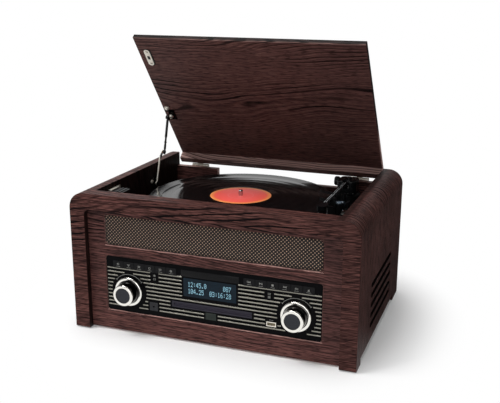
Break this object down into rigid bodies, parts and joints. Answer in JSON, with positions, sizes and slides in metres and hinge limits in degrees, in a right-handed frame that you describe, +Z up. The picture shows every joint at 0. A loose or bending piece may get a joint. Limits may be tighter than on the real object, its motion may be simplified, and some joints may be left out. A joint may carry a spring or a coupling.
{
  "type": "stereo music centre",
  "caption": "Table-top wooden music centre with a belt-drive record deck under a hinged lid, cloth grille, disc slot, display, push keys and large chrome-ringed knobs.",
  "frame": {"origin": "on the surface the feet stand on, in the middle of the overall box", "axes": "+Z up, +X to the right as the user faces the front, +Y towards the back, so the front faces -Y"},
  "size_m": [0.45, 0.3509, 0.4445],
  "materials": {
    "veneer": "dark open-grain veneer, satin",
    "baffle": "dark veneer, satin",
    "pad": "matt",
    "board": "raw fibreboard",
    "back": "painted board, matt",
    "screw": "blackened",
    "cloth": "diagonal weave",
    "grille_board": "black painted board",
    "speaker": "black",
    "fascia": "glossy with silver stripes",
    "key": "glossy",
    "window": "tinted",
    "trim": "glossy",
    "chrome": "polished",
    "knob": "fine satin",
    "pcb": "board green",
    "steel": "plated",
    "core": "varnished",
    "socket": "matt",
    "deck": "fine texture",
    "platter": "cast",
    "vinyl": "grooved, glossy",
    "belt": "matt",
    "arm": "satin",
    "housing": "satin",
    "brass": "turned"
  },
  "bodies": {
    "cabinet": {"cabinet_wrap": "veneer", "rubber_pads": "pad", "front_baffle": "baffle", "base_board": "board", "rear_panel": "back", "rear_screws": "screw", "grille_cloth": "cloth", "grille_board": "grille_board", "speakers": "speaker", "fascia_plate": "fascia", "display_window": "window", "cd_bezel": "trim", "ir_window": "trim", "headphone_jack": "socket", "usb_port": "steel", "knob_rings": "chrome", "control_board": "pcb", "cd_mechanism": "steel", "main_board": "pcb", "power_transformer": "core", "mains_inlet": "socket", "line_out_sockets": "socket", "deck_plate": "deck", "spindle": "chrome", "motor": "steel", "drive_belt": "belt", "arm_base": "housing", "hinge_fixed_leaves": "steel", "stay_bracket": "steel", "magnet_catch": "socket"},
    "lid": {"lid": "veneer", "hinge_lid_leaves": "steel", "stay_lid_bracket": "steel", "strike_plate": "steel"},
    "stay_lower": {"stay_lower_link": "steel"},
    "stay_upper": {"stay_upper_link": "socket"},
    "turntable": {"platter": "platter", "record": "vinyl"},
    "pulley": {"motor_pulley": "brass"},
    "arm_carriage": {"arm_gimbal": "housing"},
    "tonearm": {"arm_tube": "arm", "cartridge": "socket"},
    "cue": {"cue_lever": "chrome"},
    "speed": {"speed_slider": "chrome"},
    "knob_left": {"knob_left_body": "knob", "knob_left_cap": "chrome"},
    "knob_right": {"knob_right_body": "knob", "knob_right_cap": "chrome"},
    "body_key_01": {"key_01": "key"},
    "body_key_02": {"key_02": "key"},
    "body_key_03": {"key_03": "key"},
    "body_key_04": {"key_04": "key"},
    "body_key_05": {"key_05": "key"},
    "body_key_06": {"key_06": "key"},
    "body_key_07": {"key_07": "key"},
    "body_key_08": {"key_08": "key"},
    "body_key_09": {"key_09": "key"},
    "body_key_10": {"key_10": "key"},
    "body_key_11": {"key_11": "key"},
    "body_key_12": {"key_12": "key"}
  },
  "joints": [
    {"name": "lid_hinge", "type": "hinge", "parent": "cabinet", "child": "lid", "pos_m": [0, 0.1605, 0.1975], "axis": [1, 0, 0], "range_deg": [0, 51.3]},
    {"name": "stay_lower_pivot", "type": "hinge", "parent": "cabinet", "child": "stay_lower", "pos_m": [-0.186, 0.0498, 0.186], "axis": [1, 0, 0], "range_deg": [-40.2, 0.2]},
    {"name": "stay_upper_pivot", "type": "hinge", "parent": "lid", "child": "stay_upper", "pos_m": [-0.182, 0.09195, 0.2957], "axis": [1, 0, 0], "range_deg": [-0.2, 57.2]},
    {"name": "platter_spin", "type": "hinge", "parent": "cabinet", "child": "turntable", "pos_m": [-0.014, 0.0115, 0.185], "axis": [0, 0, 1], "continuous": true},
    {"name": "pulley_spin", "type": "hinge", "parent": "cabinet", "child": "pulley", "pos_m": [-0.07789, -0.03324, 0.178], "axis": [0, 0, 1], "continuous": true},
    {"name": "tonearm_swing", "type": "hinge", "parent": "cabinet", "child": "arm_carriage", "pos_m": [0.142, 0.111, 0.19], "axis": [0, 0, 1], "range_deg": [-40, 0]},
    {"name": "tonearm_lift", "type": "hinge", "parent": "arm_carriage", "child": "tonearm", "pos_m": [0.142, 0.111, 0.205], "axis": [1, 0, 0], "range_deg": [-1.2, 0]},
    {"name": "cue_lever_tilt", "type": "hinge", "parent": "cabinet", "child": "cue", "pos_m": [0.153, 0.0385, 0.184], "axis": [1, 0, 0], "range_deg": [-30, 0]},
    {"name": "speed_slide", "type": "slide", "parent": "cabinet", "child": "speed", "axis": [0, 1, 0], "range_m": [0, 0.014]},
    {"name": "knob_left_turn", "type": "hinge", "parent": "cabinet", "child": "knob_left", "pos_m": [-0.1335, -0.16, 0.0685], "axis": [0, 1, 0], "continuous": true},
    {"name": "knob_right_turn", "type": "hinge", "parent": "cabinet", "child": "knob_right", "pos_m": [0.1335, -0.16, 0.0685], "axis": [0, 1, 0], "continuous": true},
    {"name": "key_01_press", "type": "slide", "parent": "cabinet", "child": "body_key_01", "axis": [0, 1, 0], "range_m": [0, 0.0008], "stiffness_N_per_m": 400, "springref_m": -0.0008},
    {"name": "key_02_press", "type": "slide", "parent": "cabinet", "child": "body_key_02", "axis": [0, 1, 0], "range_m": [0, 0.0008], "stiffness_N_per_m": 400, "springref_m": -0.0008},
    {"name": "key_03_press", "type": "slide", "parent": "cabinet", "child": "body_key_03", "axis": [0, 1, 0], "range_m": [0, 0.0008], "stiffness_N_per_m": 400, "springref_m": -0.0008},
    {"name": "key_04_press", "type": "slide", "parent": "cabinet", "child": "body_key_04", "axis": [0, 1, 0], "range_m": [0, 0.0008], "stiffness_N_per_m": 400, "springref_m": -0.0008},
    {"name": "key_05_press", "type": "slide", "parent": "cabinet", "child": "body_key_05", "axis": [0, 1, 0], "range_m": [0, 0.0008], "stiffness_N_per_m": 400, "springref_m": -0.0008},
    {"name": "key_06_press", "type": "slide", "parent": "cabinet", "child": "body_key_06", "axis": [0, 1, 0], "range_m": [0, 0.0008], "stiffness_N_per_m": 400, "springref_m": -0.0008},
    {"name": "key_07_press", "type": "slide", "parent": "cabinet", "child": "body_key_07", "axis": [0, 1, 0], "range_m": [0, 0.0008], "stiffness_N_per_m": 400, "springref_m": -0.0008},
    {"name": "key_08_press", "type": "slide", "parent": "cabinet", "child": "body_key_08", "axis": [0, 1, 0], "range_m": [0, 0.0008], "stiffness_N_per_m": 400, "springref_m": -0.0008},
    {"name": "key_09_press", "type": "slide", "parent": "cabinet", "child": "body_key_09", "axis": [0, 1, 0], "range_m": [0, 0.0008], "stiffness_N_per_m": 400, "springref_m": -0.0008},
    {"name": "key_10_press", "type": "slide", "parent": "cabinet", "child": "body_key_10", "axis": [0, 1, 0], "range_m": [0, 0.0008], "stiffness_N_per_m": 400, "springref_m": -0.0008},
    {"name": "key_11_press", "type": "slide", "parent": "cabinet", "child": "body_key_11", "axis": [0, 1, 0], "range_m": [0, 0.0008], "stiffness_N_per_m": 400, "springref_m": -0.0008},
    {"name": "key_12_press", "type": "slide", "parent": "cabinet", "child": "body_key_12", "axis": [0, 1, 0], "range_m": [0, 0.0008], "stiffness_N_per_m": 400, "springref_m": -0.0008}
  ],
  "couplings": [
    {"joint": "stay_lower_pivot", "follows": "lid_hinge", "ratio": -0.77904},
    {"joint": "stay_upper_pivot", "follows": "lid_hinge", "ratio": 1.111},
    {"joint": "pulley_spin", "follows": "platter_spin", "ratio": 10}
  ]
}
